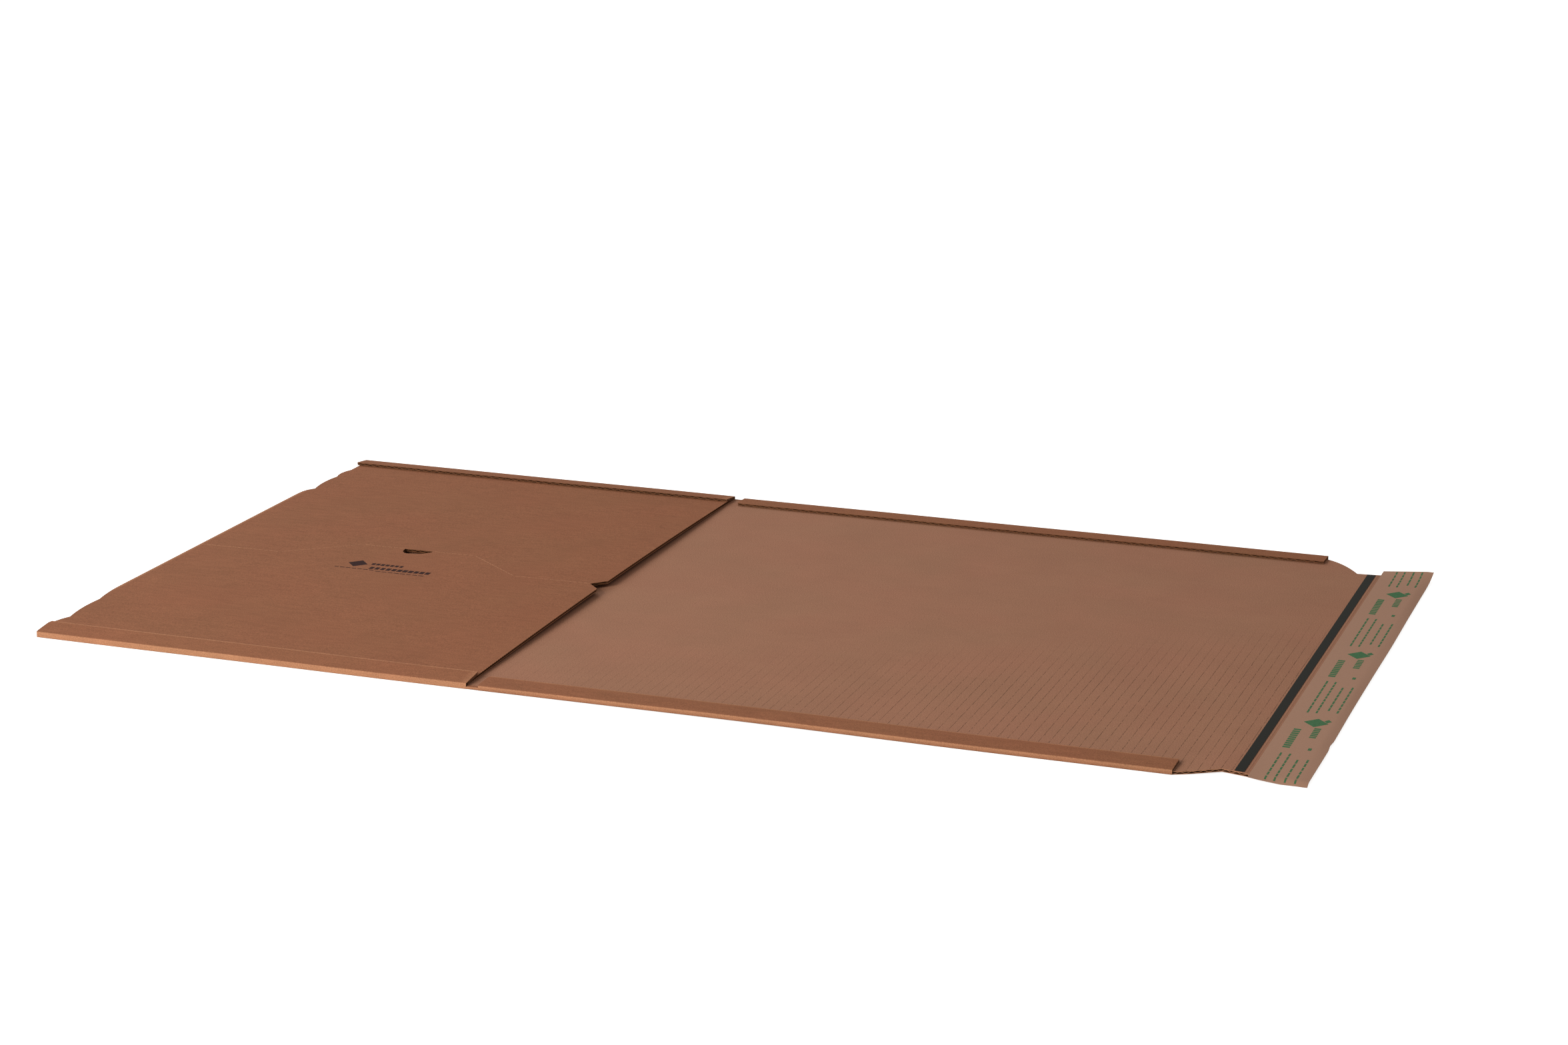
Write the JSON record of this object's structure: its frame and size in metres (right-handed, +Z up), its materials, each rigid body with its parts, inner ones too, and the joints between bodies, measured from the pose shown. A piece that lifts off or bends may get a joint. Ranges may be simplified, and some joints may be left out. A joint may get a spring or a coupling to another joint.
{
  "type": "wraparound mailer",
  "caption": "Corrugated wraparound mailer lying open: a folded pocket with turned-in side strips and a perforated tear line, and a long wrap flap with a tear strip and a lined adhesive edge.",
  "frame": {"origin": "middle of the footprint, on the surface that the mailer lies on", "axes": "+X from the pocket's folded end to the closing end, +Y across the mailer to its far side, +Z up"},
  "size_m": [0.865, 0.5, 0.0065],
  "materials": {
    "board": "matt kraft corrugated board",
    "tear_tape": "dark matt film tape",
    "adhesive": "tacky hot-melt adhesive",
    "liner_paper": "silicone-coated brown kraft paper"
  },
  "bodies": {
    "pocket": {"pocket_board": "board"},
    "wrap": {"wrap_flap": "board", "tear_strip": "tear_tape", "adhesive_strip": "adhesive", "release_liner": "liner_paper"}
  },
  "joints": [
    {"name": "wrap_fold", "type": "hinge", "parent": "pocket", "child": "wrap", "pos_m": [-0.109, 0, 0.0054], "axis": [0, -1, 0], "range_deg": [0, 180]}
  ]
}
